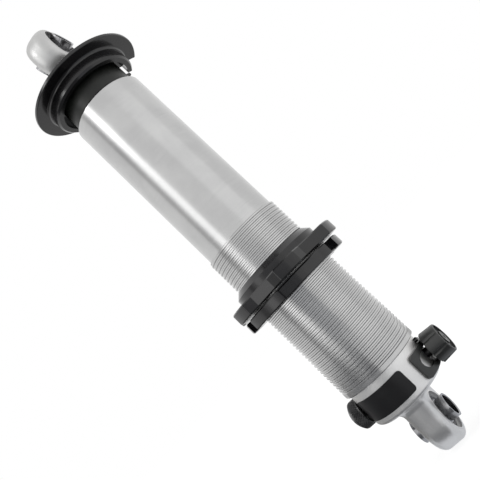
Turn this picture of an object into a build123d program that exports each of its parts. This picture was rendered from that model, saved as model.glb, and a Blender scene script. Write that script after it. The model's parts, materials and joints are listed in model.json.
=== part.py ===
from build123d import *
from math import cos, radians, sin, tan
import os

# Coilover shock absorber, shown fully closed and without its spring.
# The origin is the centre of the lower eye. +Z runs up the damper to the rod end, and +X is the
# lower bolt axis, on the side of the fluted adjuster knob. Lengths are millimetres, angles degrees.

os.makedirs("parts", exist_ok=True)

# Fits
running = 0.05
static_fit = 0.02
seat_gap = 0.3
cut_past = 1.0
edge_band = 0.01

# Overall stations along the damper
eye_to_eye = 328.8
stroke = 140.0
base_bottom = 19.2
base_top = 43.0
tube_top = 275.7

# Eyes and their spherical bearings
eye_radius = 17.5
eye_rounding = 4.0
upper_eye_flat = 3.0
lower_eye_width = 16.6
upper_eye_width = 18.8
race_radius = 12.7
race_width = 9.9
ball_radius = 10.3
ball_width = 13.6
upper_ball_tilt = 11.0
bolt_radius = 6.35
bolt_lead_in = 0.35
spacer_span = 25.4
spacer_shank_radius = 7.14
spacer_mouth_radius = 7.6
circlip_thickness = 1.1
circlip_bite = 0.65
circlip_band = 2.2
circlip_gap = 7.0
circlip_ear_radius = 1.5
circlip_ear_hole = 0.7

# Base casting
base_radius = 25.4
base_rounding = 2.4
neck_blend = 5.2
spigot_length = 15.0
cup_depth = 10.0
gallery_radius = 2.5
foot_nut_pocket_radius = 8.0
foot_nut_pocket_depth = 4.0

# Outer tube with its threaded zone
tube_radius = 26.1
tube_bore_radius = 23.0
tube_rim_rounding = 1.5
crest_radius = 27.5
root_radius = 26.4
groove_width = 1.0
thread_start = 46.0
thread_pitch = 2.5
thread_turns = 44
tube_foot_chamfer = 0.4

# Inner cylinder
cylinder_bore_radius = 17.5
cylinder_wall = 1.5

# O-rings seated between the tube and its two end pieces
oring_section = 0.82
oring_groove_width = 2.4
oring_groove_depth = 1.75
base_oring_station = 50.0
guide_oring_station = 260.0

# Foot valve
foot_flange = 2.0
foot_plug = 8.0
foot_port_radius = 1.2
foot_port_circle_radius = 11.0
foot_port_count = 8
foot_bolt_radius = 2.5
foot_bolt_head_radius = 4.6
foot_bolt_head = 4.0
foot_nut_height = 3.2

# Shim stacks
shim_thickness = 0.4
shim_count = 3
shim_step = 1.8
foot_shim_radius = 13.0
piston_shim_radius = 14.0

# Rod and piston
rod_radius = 7.94
rod_lower_stud_radius = 5.0
rod_upper_stud_radius = 6.0
rod_upper_stud = 12.0
rod_shoulder_chamfer = 0.6
piston_clearance_below = 2.7
piston_nut_height = 6.0
piston_nut_across = 17.0
piston_length = 18.0
piston_port_radius = 1.7
piston_port_circle_radius = 11.0
piston_port_count = 8
piston_relief = 0.3
band_width = 10.0
band_depth = 1.5
stop_washer_thickness = 2.0
stop_washer_radius = 13.0
rebound_bumper_radius = 12.5

# Rod guide
guide_length = 27.4
guide_recess = 0.3
guide_nose = 5.0
bush_length = 14.0
bush_wall = 1.1
seal_pocket_radius = 12.0
seal_height = 6.0
wiper_height = 5.6
wiper_lip = 1.6

# Bump stop
bump_stop_radius = 23.5
bump_stop_bore_gap = 0.25
bump_stop_rounding = 1.0

# Slotted spring cap
cap_flange_radius = 40.7
cap_flange = 2.2
cap_floor = 4.4
cap_hub_radius = 31.35
cap_hub_bore_radius = 27.0
cap_hub_depth = 8.5
cap_hub_chamfer = 1.2
cap_root_blend = 1.8
cap_top = 297.9
cap_slot_width = 16.3
cap_slot_angle = 51.0
cap_edge_rounding = 0.6

# Rod end
shank_radius = 13.0
shank_chamfer = 0.8
shank_shoulder = 3.0

# Lock nut
lock_nut_bottom = 107.4
lock_nut_thickness = 7.0
lock_nut_radius = 38.6
lock_notch_count = 6
lock_notch_width = 9.6
lock_notch_depth = 3.6
lock_notch_angle = -80.5
nut_edge = 0.7
nut_land_width = 3.0

# Seat nut
nut_gap = 1.2
lug_thickness = 7.7
lug_radius = 42.4
lug_count = 6
recess_angle = -38.0
recess_depth = 4.4
recess_floor_half_angle = 11.0
recess_mouth_half_angle = 19.6
recess_blend = 1.6
seat_hub_radius = 31.4
seat_hub_height = 4.3
seat_cone_height = 3.5

# Adjusters, one on each side of the base
adjuster_height = 29.5
orifice_radius = 1.3
needle_radius = 3.0
needle_flat = 2.2
needle_length = 5.0
needle_tip_length = 2.0
needle_tip_radius = 1.0
needle_entry = 0.4
needle_travel = 1.5
needle_end_room = 0.5
stem_radius = 1.5
stem_reach = 3.5
collar_radius = 5.0
collar_thickness = 2.0
adjuster_bore_radius = 5.5
shaft_radius = 3.0
gland_length = 9.2
gland_inset = 0.8
shaft_oring_section = 0.42
shaft_oring_groove = 1.2

# Fluted knob on the +X side
knob_gap = 0.5
fluted_bottom_radius = 10.3
fluted_top_radius = 9.6
fluted_height = 10.7
fluted_under_taper = 0.8
fluted_under_radius = 7.5
fluted_rounding = 0.8
flute_count = 7
flute_radius = 1.5
flute_inset = 0.6
flute_angle = 8.8
fluted_shaft_cover = 4.6
knob_screw_head_radius = 3.2
knob_screw_head = 1.8
knob_screw_radius = 1.45
knob_screw_reach = 4.0
knob_screw_socket = 1.25

# Knurled knob on the -X side
knurled_radius = 9.1
knurled_wall = 6.2
knurled_dome = 3.8
knurled_shaft_cover = 3.6
set_screw_radius = 1.5
set_screw_length = 5.0
set_screw_socket = 0.75

# Saddle under the fluted knob, with its dowel
saddle_thickness = 2.0
saddle_height = 16.2
saddle_half_angle = 44.0
saddle_corner = 2.5
window_length = 32.0
window_width = 9.4
dowel_radius = 1.4
dowel_gap = 0.2
dowel_depth = 3.5
dowel_angle = -4.0

# Blank plate on the front of the base
plate_bottom = 23.9
plate_height = 14.3
plate_thickness = 0.5
plate_first_angle = -150.0
plate_last_angle = -62.0
plate_corner = 2.2

# Stations worked out from the sizes above
spigot_radius = tube_bore_radius - static_fit
cylinder_radius = cylinder_bore_radius + cylinder_wall
cup_floor = base_top + spigot_length - cup_depth
cylinder_bottom = cup_floor + foot_flange
foot_top = cylinder_bottom + foot_plug
shim_pitch = shim_thickness + static_fit
shim_stack = shim_count * shim_pitch
foot_bolt_top = foot_top + shim_stack + foot_bolt_head
piston_nut_bottom = foot_bolt_top + piston_clearance_below
piston_nut_top = piston_nut_bottom + piston_nut_height
piston_bottom = piston_nut_top + shim_stack
piston_top = piston_bottom + piston_length
stop_washer_bottom = piston_top + shim_stack
rod_lower_shoulder = stop_washer_bottom + stop_washer_thickness
guide_top = tube_top - guide_recess
guide_bottom = guide_top - guide_length
guide_shoulder = guide_bottom + guide_nose
seal_floor = guide_bottom + bush_length
rebound_bumper_top = guide_bottom - stroke - seat_gap
cap_flange_underside = cap_top - cap_flange
cap_floor_underside = cap_top - cap_floor
cap_bottom = cap_flange_underside - cap_hub_depth
rod_end_bottom = cap_top + seat_gap
seat_nut_bottom = lock_nut_bottom + lock_nut_thickness + nut_gap
lug_top = seat_nut_bottom + lug_thickness
seat_hub_top = lug_top + seat_hub_height
seat_nut_top = seat_hub_top + seat_cone_height
nut_bore_radius = crest_radius + running
recess_floor_radius = lug_radius - recess_depth

# Distances from the damper axis along each adjuster
gland_end = base_radius - gland_inset
gland_start = gland_end - gland_length
collar_end = gland_start - seat_gap
collar_start = collar_end - collar_thickness
needle_end = collar_start - needle_end_room - needle_travel
needle_start = needle_end - needle_length
chamber_start = needle_start - needle_tip_length + needle_entry
fluted_start = base_radius + saddle_thickness + knob_gap
fluted_end = fluted_start + fluted_height
fluted_shaft_end = fluted_end - fluted_shaft_cover
knurled_start = base_radius + knob_gap
knurled_end = knurled_start + knurled_wall + knurled_dome
knurled_shaft_end = knurled_end - knurled_shaft_cover


def sector(inner, outer, first, last):
    """Flat ring sector between two radii and two angles, for pieces wrapped round the base."""
    reach = 2 * outer
    middle = (first + last) / 2
    spread = (last - first) / 2
    with BuildSketch(Plane.XY) as flat:
        Circle(outer)
        Circle(inner, mode=Mode.SUBTRACT)
        with PolarLocations(0, 1, start_angle=middle):
            Polygon(
                (0, 0),
                (reach * cos(radians(spread)), reach * sin(radians(spread))),
                (reach * cos(radians(spread)), -reach * sin(radians(spread))),
                align=None,
                mode=Mode.INTERSECT,
            )
    return flat.sketch


# Base casting: lower eye, round body, spigot, cup for the foot valve and the adjuster bores
with BuildPart() as base_mount:
    with BuildSketch(Plane.XY.offset(base_bottom)):
        Circle(base_radius)
    extrude(amount=base_top - base_bottom)
    fillet(base_mount.edges().group_by(Axis.Z)[0], base_rounding)
    with BuildSketch(Plane.YZ):
        Circle(eye_radius)
        with Locations((0, (base_bottom + base_rounding) / 2)):
            Rectangle(2 * eye_radius, base_bottom + base_rounding)
    extrude(amount=lower_eye_width / 2, both=True)
    eye_rims = base_mount.faces().filter_by(Axis.X).group_by(SortBy.AREA)[-1].edges()
    fillet(eye_rims.filter_by_position(Axis.Z, -eye_radius - cut_past, base_bottom - edge_band), eye_rounding)
    on_bottom = base_mount.edges().filter_by_position(Axis.Z, base_bottom - edge_band, base_bottom + edge_band)
    fillet(on_bottom.sort_by(SortBy.LENGTH)[:-1], neck_blend)
    with BuildSketch(Plane.XY.offset(base_top)):
        Circle(spigot_radius)
    extrude(amount=spigot_length)
    with BuildSketch(Plane.XY.offset(base_oring_station - oring_groove_width / 2)):
        Circle(spigot_radius + cut_past)
        Circle(spigot_radius - oring_groove_depth, mode=Mode.SUBTRACT)
    extrude(amount=oring_groove_width, mode=Mode.SUBTRACT)
    with BuildSketch(Plane.XY.offset(cup_floor)):
        Circle(cylinder_radius + static_fit)
    extrude(amount=cup_depth, mode=Mode.SUBTRACT)
    with BuildSketch(Plane.XY.offset(cup_floor - foot_nut_pocket_depth)):
        Circle(foot_nut_pocket_radius)
    extrude(amount=foot_nut_pocket_depth, mode=Mode.SUBTRACT)
    with BuildSketch(Plane.XY.offset(adjuster_height - gallery_radius)):
        Circle(gallery_radius)
    extrude(amount=cup_floor - adjuster_height, mode=Mode.SUBTRACT)
    with BuildSketch(Plane.YZ):
        with Locations((0, adjuster_height)):
            Circle(orifice_radius)
    extrude(amount=chamber_start, both=True, mode=Mode.SUBTRACT)
    for side in (1, -1):
        with BuildSketch(Plane.YZ.offset(side * chamber_start)):
            with Locations((0, adjuster_height)):
                Circle(needle_radius + running)
                Rectangle(
                    3 * needle_radius,
                    2 * (needle_flat + running),
                    mode=Mode.INTERSECT,
                )
        extrude(amount=side * (collar_start - chamber_start), mode=Mode.SUBTRACT)
        with BuildSketch(Plane.YZ.offset(side * collar_start)):
            with Locations((0, adjuster_height)):
                Circle(adjuster_bore_radius)
        extrude(amount=side * base_radius, mode=Mode.SUBTRACT)
    with BuildSketch(Plane.YZ):
        Circle(race_radius)
    extrude(amount=lower_eye_width / 2, both=True, mode=Mode.SUBTRACT)
    for side in (1, -1):
        with BuildSketch(Plane.YZ.offset(side * race_width / 2)):
            Circle(race_radius + circlip_bite)
        extrude(amount=side * (circlip_thickness + static_fit), mode=Mode.SUBTRACT)
    with Locations(
        Location(
            (
                (base_radius - dowel_depth) * cos(radians(dowel_angle)),
                (base_radius - dowel_depth) * sin(radians(dowel_angle)),
                adjuster_height + saddle_height / 2 + dowel_gap + dowel_radius,
            ),
            (0, 90, dowel_angle),
        )
    ):
        Cylinder(
            dowel_radius + static_fit,
            2 * dowel_depth,
            align=(Align.CENTER, Align.CENTER, Align.MIN),
            mode=Mode.SUBTRACT,
        )
base_mount.part.label = "base_mount"
export_step(base_mount.part, "parts/base_mount.step")

# Outer tube; each turn of its thread is a closed groove
grooves = []
for turn in range(thread_turns):
    groove_middle = thread_start + turn * thread_pitch
    grooves += [
        (crest_radius, groove_middle - groove_width / 2),
        (root_radius, groove_middle),
        (crest_radius, groove_middle + groove_width / 2),
    ]
thread_end = thread_start + thread_turns * thread_pitch
with BuildPart() as body_tube:
    with BuildSketch(Plane.XZ):
        with BuildLine():
            Polyline(
                (tube_bore_radius, base_top),
                (crest_radius - tube_foot_chamfer, base_top),
                (crest_radius, base_top + tube_foot_chamfer),
                *grooves,
                (crest_radius, thread_end - groove_width / 2),
                (tube_radius, thread_end),
                (tube_radius, tube_top),
                (tube_bore_radius, tube_top),
                close=True,
            )
        make_face()
    revolve(axis=Axis.Z)
    top_edges = body_tube.edges().group_by(Axis.Z)[-1]
    fillet(top_edges.sort_by(SortBy.LENGTH)[-1], tube_rim_rounding)
body_tube.part.label = "body_tube"
export_step(body_tube.part, "parts/body_tube.step")

# Inner cylinder that the piston runs in
with BuildPart() as inner_cylinder:
    with BuildSketch(Plane.XY.offset(cylinder_bottom)):
        Circle(cylinder_radius)
        Circle(cylinder_bore_radius, mode=Mode.SUBTRACT)
    extrude(amount=guide_shoulder - cylinder_bottom)
inner_cylinder.part.label = "inner_cylinder"
export_step(inner_cylinder.part, "parts/inner_cylinder.step")

# Foot valve: ported plug, shims, bolt and nut
with BuildPart() as foot_valve_body:
    with BuildSketch(Plane.XY.offset(cup_floor)):
        Circle(cylinder_radius)
    extrude(amount=foot_flange)
    with BuildSketch(Plane.XY.offset(cylinder_bottom)):
        Circle(cylinder_bore_radius - static_fit)
    extrude(amount=foot_plug)
    with BuildSketch(Plane.XY.offset(cup_floor)):
        Circle(foot_bolt_radius + running)
        with PolarLocations(foot_port_circle_radius, foot_port_count):
            Circle(foot_port_radius)
    extrude(amount=foot_flange + foot_plug, mode=Mode.SUBTRACT)
foot_valve_body.part.label = "foot_valve_body"
export_step(foot_valve_body.part, "parts/foot_valve_body.step")

with BuildPart() as foot_valve_shims:
    for level in range(shim_count):
        with BuildSketch(Plane.XY.offset(foot_top + static_fit + level * shim_pitch)):
            Circle(foot_shim_radius - level * shim_step)
            Circle(foot_bolt_radius + running, mode=Mode.SUBTRACT)
        extrude(amount=shim_thickness)
foot_valve_shims.part.label = "foot_valve_shims"
export_step(foot_valve_shims.part, "parts/foot_valve_shims.step")

with BuildPart() as foot_valve_bolt:
    with BuildSketch(Plane.XY.offset(foot_top + shim_stack + static_fit)):
        RegularPolygon(foot_bolt_head_radius, 6)
    extrude(amount=foot_bolt_head - static_fit)
    with BuildSketch(Plane.XY.offset(cup_floor - foot_nut_height)):
        Circle(foot_bolt_radius)
    extrude(amount=foot_top + shim_stack + static_fit - cup_floor + foot_nut_height)
foot_valve_bolt.part.label = "foot_valve_bolt"
export_step(foot_valve_bolt.part, "parts/foot_valve_bolt.step")

with BuildPart() as foot_valve_nut:
    with BuildSketch(Plane.XY.offset(cup_floor - foot_nut_height)):
        RegularPolygon(foot_bolt_head_radius, 6)
        Circle(foot_bolt_radius + static_fit, mode=Mode.SUBTRACT)
    extrude(amount=foot_nut_height)
foot_valve_nut.part.label = "foot_valve_nut"
export_step(foot_valve_nut.part, "parts/foot_valve_nut.step")

# O-rings that seal the tube to the base and to the rod guide
for seal_name, station in (("base_oring", base_oring_station), ("guide_oring", guide_oring_station)):
    with BuildPart() as tube_oring:
        with BuildSketch(Plane.XZ):
            with Locations((spigot_radius - oring_groove_depth + oring_section + running, station)):
                Circle(oring_section)
        revolve(axis=Axis.Z)
    tube_oring.part.label = seal_name
    export_step(tube_oring.part, f"parts/{seal_name}.step")

# Rod guide that closes the tube, with its bush, seal and wiper
with BuildPart() as rod_guide:
    with BuildSketch(Plane.XZ):
        with BuildLine():
            Polyline(
                (rod_radius + running + bush_wall, guide_bottom),
                (cylinder_bore_radius - static_fit, guide_bottom),
                (cylinder_bore_radius - static_fit, guide_shoulder),
                (spigot_radius, guide_shoulder),
                (spigot_radius, guide_oring_station - oring_groove_width / 2),
                (spigot_radius - oring_groove_depth, guide_oring_station - oring_groove_width / 2),
                (spigot_radius - oring_groove_depth, guide_oring_station + oring_groove_width / 2),
                (spigot_radius, guide_oring_station + oring_groove_width / 2),
                (spigot_radius, guide_top),
                (seal_pocket_radius, guide_top),
                (seal_pocket_radius, seal_floor),
                (rod_radius + running + bush_wall, seal_floor),
                close=True,
            )
        make_face()
    revolve(axis=Axis.Z)
rod_guide.part.label = "rod_guide"
export_step(rod_guide.part, "parts/rod_guide.step")

with BuildPart() as guide_bush:
    with BuildSketch(Plane.XY.offset(guide_bottom)):
        Circle(rod_radius + running + bush_wall - static_fit)
        Circle(rod_radius + running, mode=Mode.SUBTRACT)
    extrude(amount=bush_length)
guide_bush.part.label = "guide_bush"
export_step(guide_bush.part, "parts/guide_bush.step")

with BuildPart() as rod_seal:
    with BuildSketch(Plane.XY.offset(seal_floor + static_fit)):
        Circle(seal_pocket_radius - static_fit)
        Circle(rod_radius + running, mode=Mode.SUBTRACT)
    extrude(amount=seal_height)
rod_seal.part.label = "rod_seal"
export_step(rod_seal.part, "parts/rod_seal.step")

with BuildPart() as rod_wiper:
    with BuildSketch(Plane.XZ):
        wiper_bottom = seal_floor + seal_height + 2 * static_fit
        wiper_top = wiper_bottom + wiper_height
        with BuildLine():
            Polyline(
                (rod_radius + wiper_lip, wiper_bottom),
                (seal_pocket_radius - static_fit, wiper_bottom),
                (seal_pocket_radius - static_fit, wiper_top),
                (rod_radius + running, wiper_top),
                (rod_radius + running, wiper_top - wiper_lip),
                close=True,
            )
        make_face()
    revolve(axis=Axis.Z)
rod_wiper.part.label = "rod_wiper"
export_step(rod_wiper.part, "parts/rod_wiper.step")

# Piston rod: long ground shaft, stud for the piston below and for the rod end above
with BuildPart() as piston_rod:
    with BuildSketch(Plane.XZ):
        with BuildLine():
            Polyline(
                (0, piston_nut_bottom),
                (rod_lower_stud_radius, piston_nut_bottom),
                (rod_lower_stud_radius, rod_lower_shoulder),
                (rod_radius - rod_shoulder_chamfer, rod_lower_shoulder),
                (rod_radius, rod_lower_shoulder + rod_shoulder_chamfer),
                (rod_radius, rod_end_bottom),
                (rod_upper_stud_radius, rod_end_bottom),
                (rod_upper_stud_radius, rod_end_bottom + rod_upper_stud),
                (0, rod_end_bottom + rod_upper_stud),
                close=True,
            )
        make_face()
    revolve(axis=Axis.Z)
piston_rod.part.label = "piston_rod"
export_step(piston_rod.part, "parts/piston_rod.step")

# Piston with axial ports and a groove for its band
with BuildPart() as piston:
    with BuildSketch(Plane.XY.offset(piston_bottom)):
        Circle(cylinder_bore_radius - piston_relief)
        Circle(rod_lower_stud_radius + static_fit, mode=Mode.SUBTRACT)
        with PolarLocations(piston_port_circle_radius, piston_port_count):
            Circle(piston_port_radius, mode=Mode.SUBTRACT)
    extrude(amount=piston_length)
    with BuildSketch(Plane.XY.offset(piston_bottom + (piston_length - band_width) / 2)):
        Circle(cylinder_bore_radius)
        Circle(cylinder_bore_radius - piston_relief - band_depth, mode=Mode.SUBTRACT)
    extrude(amount=band_width, mode=Mode.SUBTRACT)
piston.part.label = "piston"
export_step(piston.part, "parts/piston.step")

with BuildPart() as piston_band:
    with BuildSketch(Plane.XY.offset(piston_bottom + (piston_length - band_width) / 2 + static_fit)):
        Circle(cylinder_bore_radius - running)
        Circle(cylinder_bore_radius - piston_relief - band_depth + static_fit, mode=Mode.SUBTRACT)
    extrude(amount=band_width - 2 * static_fit)
piston_band.part.label = "piston_band"
export_step(piston_band.part, "parts/piston_band.step")

# Shims above and below the piston; the widest one lies on the piston
with BuildPart() as compression_shims:
    for level in range(shim_count):
        with BuildSketch(Plane.XY.offset(piston_top + static_fit + level * shim_pitch)):
            Circle(piston_shim_radius - level * shim_step)
            Circle(rod_lower_stud_radius + static_fit, mode=Mode.SUBTRACT)
        extrude(amount=shim_thickness - static_fit)
compression_shims.part.label = "compression_shims"
export_step(compression_shims.part, "parts/compression_shims.step")

with BuildPart() as rebound_shims:
    for level in range(shim_count):
        with BuildSketch(Plane.XY.offset(piston_bottom - static_fit - level * shim_pitch)):
            Circle(piston_shim_radius - level * shim_step)
            Circle(rod_lower_stud_radius + static_fit, mode=Mode.SUBTRACT)
        extrude(amount=static_fit - shim_thickness)
rebound_shims.part.label = "rebound_shims"
export_step(rebound_shims.part, "parts/rebound_shims.step")

with BuildPart() as piston_nut:
    with BuildSketch(Plane.XY.offset(piston_nut_bottom)):
        RegularPolygon(piston_nut_across / 2, 6, major_radius=False)
        Circle(rod_lower_stud_radius + static_fit, mode=Mode.SUBTRACT)
    extrude(amount=piston_nut_height)
piston_nut.part.label = "piston_nut"
export_step(piston_nut.part, "parts/piston_nut.step")

with BuildPart() as stop_washer:
    with BuildSketch(Plane.XY.offset(stop_washer_bottom)):
        Circle(stop_washer_radius)
        Circle(rod_lower_stud_radius + static_fit, mode=Mode.SUBTRACT)
    extrude(amount=stop_washer_thickness)
stop_washer.part.label = "stop_washer"
export_step(stop_washer.part, "parts/stop_washer.step")

# Elastomer ring that meets the rod guide at full extension
with BuildPart() as rebound_bumper:
    with BuildSketch(Plane.XY.offset(rod_lower_shoulder)):
        Circle(rebound_bumper_radius)
        Circle(rod_radius + running, mode=Mode.SUBTRACT)
    extrude(amount=rebound_bumper_top - rod_lower_shoulder)
rebound_bumper.part.label = "rebound_bumper"
export_step(rebound_bumper.part, "parts/rebound_bumper.step")

# Bump stop between the spring cap and the tube
with BuildPart() as bump_stop:
    with BuildSketch(Plane.XY.offset(tube_top + seat_gap)):
        Circle(bump_stop_radius)
        Circle(rod_radius + bump_stop_bore_gap, mode=Mode.SUBTRACT)
    extrude(amount=cap_floor_underside - tube_top - 2 * seat_gap)
    for ring in (bump_stop.edges().group_by(Axis.Z)[0], bump_stop.edges().group_by(Axis.Z)[-1]):
        fillet(ring.sort_by(SortBy.LENGTH)[-1], bump_stop_rounding)
bump_stop.part.label = "bump_stop"
export_step(bump_stop.part, "parts/bump_stop.step")

# Spring cap: thin flange, locating hub and the slot that lets it slip over the rod
with BuildPart() as spring_cap:
    with BuildSketch(Plane.XZ):
        with BuildLine():
            Polyline(
                (0, cap_floor_underside),
                (cap_hub_bore_radius, cap_floor_underside),
                (cap_hub_bore_radius, cap_bottom),
                (cap_hub_radius - cap_hub_chamfer, cap_bottom),
                (cap_hub_radius, cap_bottom + cap_hub_chamfer),
                (cap_hub_radius, cap_flange_underside),
                (cap_flange_radius, cap_flange_underside),
                (cap_flange_radius, cap_top),
                (0, cap_top),
                close=True,
            )
        make_face()
    revolve(axis=Axis.Z)
    root = spring_cap.edges().filter_by(GeomType.CIRCLE).filter_by_position(
        Axis.Z, cap_flange_underside - edge_band, cap_flange_underside + edge_band
    )
    fillet(root.sort_by(SortBy.LENGTH)[0], cap_root_blend)
    rim = spring_cap.edges().filter_by(GeomType.CIRCLE).sort_by(SortBy.LENGTH)[-2:]
    fillet(rim, cap_edge_rounding)
    with BuildSketch(Plane.XY.offset(cap_bottom)):
        Circle(cap_slot_width / 2)
        with PolarLocations(cap_flange_radius / 2 + cut_past, 1, start_angle=cap_slot_angle):
            Rectangle(cap_flange_radius + 2 * cut_past, cap_slot_width)
    extrude(amount=cap_top - cap_bottom, mode=Mode.SUBTRACT)
spring_cap.part.label = "spring_cap"
export_step(spring_cap.part, "parts/spring_cap.step")

# Rod end: shank screwed on the rod, and the barrel-shaped upper eye
with BuildPart() as upper_eye:
    with BuildSketch(Plane.XY.offset(rod_end_bottom)):
        Circle(shank_radius)
    extrude(amount=eye_to_eye - eye_radius - rod_end_bottom + eye_rounding)
    fillet(upper_eye.edges().group_by(Axis.Z)[-1], shank_shoulder)
    chamfer(upper_eye.edges().group_by(Axis.Z)[0], shank_chamfer)
    with BuildSketch(Plane(origin=(0, 0, eye_to_eye), x_dir=(1, 0, 0), z_dir=(0, 1, 0))):
        with BuildLine():
            Polyline(
                (-upper_eye_flat / 2, eye_radius),
                (upper_eye_flat / 2, eye_radius),
            )
            for side in (1, -1):
                EllipticalCenterArc(
                    (side * upper_eye_flat / 2, eye_radius - eye_rounding),
                    (upper_eye_width - upper_eye_flat) / 2,
                    eye_rounding,
                    start_angle=45 - side * 45,
                    arc_size=90,
                )
            Polyline(
                (upper_eye_width / 2, eye_radius - eye_rounding),
                (upper_eye_width / 2, 0),
                (-upper_eye_width / 2, 0),
                (-upper_eye_width / 2, eye_radius - eye_rounding),
            )
        make_face()
    revolve(axis=Axis((0, 0, eye_to_eye), (1, 0, 0)))
    with BuildSketch(Plane.XY.offset(rod_end_bottom)):
        Circle(rod_upper_stud_radius + static_fit)
    extrude(amount=rod_upper_stud + static_fit, mode=Mode.SUBTRACT)
    with BuildSketch(Plane.YZ):
        with Locations((0, eye_to_eye)):
            Circle(race_radius)
    extrude(amount=upper_eye_width / 2, both=True, mode=Mode.SUBTRACT)
    for side in (1, -1):
        with BuildSketch(Plane.YZ.offset(side * race_width / 2)):
            with Locations((0, eye_to_eye)):
                Circle(race_radius + circlip_bite)
        extrude(amount=side * (circlip_thickness + static_fit), mode=Mode.SUBTRACT)
upper_eye.part.label = "upper_eye"
export_step(upper_eye.part, "parts/upper_eye.step")

# Spherical bearing of each eye: race, circlips, ball and the pair of spacers in its bore
for end, height, tilt in (("lower", 0.0, 0.0), ("upper", eye_to_eye, upper_ball_tilt)):
    race_plane = Plane(origin=(0, 0, height), x_dir=(1, 0, 0), z_dir=(0, -1, 0))
    bolt_direction = (cos(radians(tilt)), 0, sin(radians(tilt)))
    ball_plane = Plane(origin=(0, 0, height), x_dir=bolt_direction, z_dir=(0, -1, 0))
    race_axis = Axis((0, 0, height), (1, 0, 0))
    bolt_axis = Axis((0, 0, height), bolt_direction)

    with BuildPart() as race:
        with BuildSketch(race_plane):
            with Locations((0, (race_radius - static_fit) / 2)):
                Rectangle(race_width, race_radius - static_fit)
            Circle(ball_radius + running, mode=Mode.SUBTRACT)
        revolve(axis=race_axis)
    race.part.label = f"{end}_race"
    export_step(race.part, f"parts/{end}_race.step")

    clip_radius = race_radius + circlip_bite - static_fit
    clip_inner = clip_radius - circlip_band
    with BuildPart() as circlips:
        for side in (1, -1):
            with BuildSketch(Plane.YZ.offset(side * (race_width / 2 + static_fit))):
                with Locations((0, height)):
                    Circle(clip_radius)
                    Circle(clip_inner, mode=Mode.SUBTRACT)
                    with Locations((-clip_inner, 0)):
                        Rectangle(4 * circlip_band, circlip_gap, mode=Mode.SUBTRACT)
                    for ear in (1, -1):
                        ear_lift = circlip_gap / 2 + 0.5 * circlip_ear_radius
                        with Locations((-clip_inner + 0.4 * circlip_band, ear * ear_lift)):
                            Circle(circlip_ear_radius)
                            Circle(circlip_ear_hole, mode=Mode.SUBTRACT)
            extrude(amount=side * (circlip_thickness - static_fit))
    circlips.part.label = f"{end}_circlips"
    export_step(circlips.part, f"parts/{end}_circlips.step")

    ball_bore = spacer_shank_radius + running
    with BuildPart() as ball:
        with BuildSketch(ball_plane):
            Circle(ball_radius)
            with Locations((0, ball_bore + ball_radius / 2)):
                Rectangle(ball_width, ball_radius, mode=Mode.INTERSECT)
        revolve(axis=bolt_axis)
    ball.part.label = f"{end}_ball"
    export_step(ball.part, f"parts/{end}_ball.step")

    with BuildPart() as spacers:
        with BuildSketch(ball_plane):
            with BuildLine():
                Polyline(
                    (running, bolt_radius),
                    (spacer_span / 2 - bolt_lead_in, bolt_radius),
                    (spacer_span / 2, bolt_radius + bolt_lead_in),
                    (spacer_span / 2, spacer_mouth_radius),
                    (ball_width / 2, spacer_shank_radius),
                    (running, spacer_shank_radius),
                    close=True,
                )
            make_face()
        revolve(axis=bolt_axis)
        mirror(about=Plane(origin=(0, 0, height), z_dir=bolt_direction))
    spacers.part.label = f"{end}_spacers"
    export_step(spacers.part, f"parts/{end}_spacers.step")

# Lock nut with spanner notches, and the raised land that meets the seat nut
with BuildPart() as lock_nut:
    with BuildSketch(Plane.XY.offset(lock_nut_bottom)):
        Circle(lock_nut_radius)
        with PolarLocations(lock_nut_radius, lock_notch_count, start_angle=lock_notch_angle):
            Rectangle(2 * lock_notch_depth, lock_notch_width, mode=Mode.SUBTRACT)
    extrude(amount=lock_nut_thickness)
    chamfer(lock_nut.edges().group_by(Axis.Z)[0], nut_edge)
    chamfer(lock_nut.edges().group_by(Axis.Z)[-1], nut_edge)
    with BuildSketch(Plane.XY.offset(lock_nut_bottom + lock_nut_thickness)):
        Circle(nut_bore_radius + nut_land_width)
    extrude(amount=nut_gap - seat_gap)
    with BuildSketch(Plane.XY.offset(lock_nut_bottom)):
        Circle(nut_bore_radius)
    extrude(amount=lock_nut_thickness + nut_gap, mode=Mode.SUBTRACT)
lock_nut.part.label = "lock_nut"
export_step(lock_nut.part, "parts/lock_nut.step")

# Seat nut: lugged flange below, spring hub above
with BuildPart() as seat_nut:
    with BuildSketch(Plane.XY.offset(seat_nut_bottom)) as lugs:
        Circle(lug_radius)
        floor_half = recess_floor_radius * tan(radians(recess_floor_half_angle))
        mouth_half = lug_radius * sin(radians(recess_mouth_half_angle))
        mouth_reach = lug_radius * cos(radians(recess_mouth_half_angle))
        slope = (mouth_half - floor_half) / (mouth_reach - recess_floor_radius)
        past = 0.2 * lug_radius
        with PolarLocations(0, lug_count, start_angle=recess_angle):
            Polygon(
                (recess_floor_radius, -floor_half),
                (mouth_reach + past, -mouth_half - slope * past),
                (mouth_reach + past, mouth_half + slope * past),
                (recess_floor_radius, floor_half),
                align=None,
                mode=Mode.SUBTRACT,
            )
        fillet(lugs.vertices(), recess_blend)
    extrude(amount=lug_thickness)
    chamfer(seat_nut.edges().group_by(Axis.Z)[0], nut_edge)
    chamfer(seat_nut.edges().group_by(Axis.Z)[-1], nut_edge)
    with BuildSketch(Plane.XZ):
        with BuildLine():
            Polyline(
                (0, lug_top),
                (seat_hub_radius, lug_top),
                (seat_hub_radius, seat_hub_top),
                (nut_bore_radius + nut_edge / 2, seat_nut_top),
                (0, seat_nut_top),
                close=True,
            )
        make_face()
    revolve(axis=Axis.Z)
    with BuildSketch(Plane.XY.offset(seat_nut_bottom)):
        Circle(nut_bore_radius)
    extrude(amount=seat_nut_top - seat_nut_bottom, mode=Mode.SUBTRACT)
seat_nut.part.label = "seat_nut"
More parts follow.
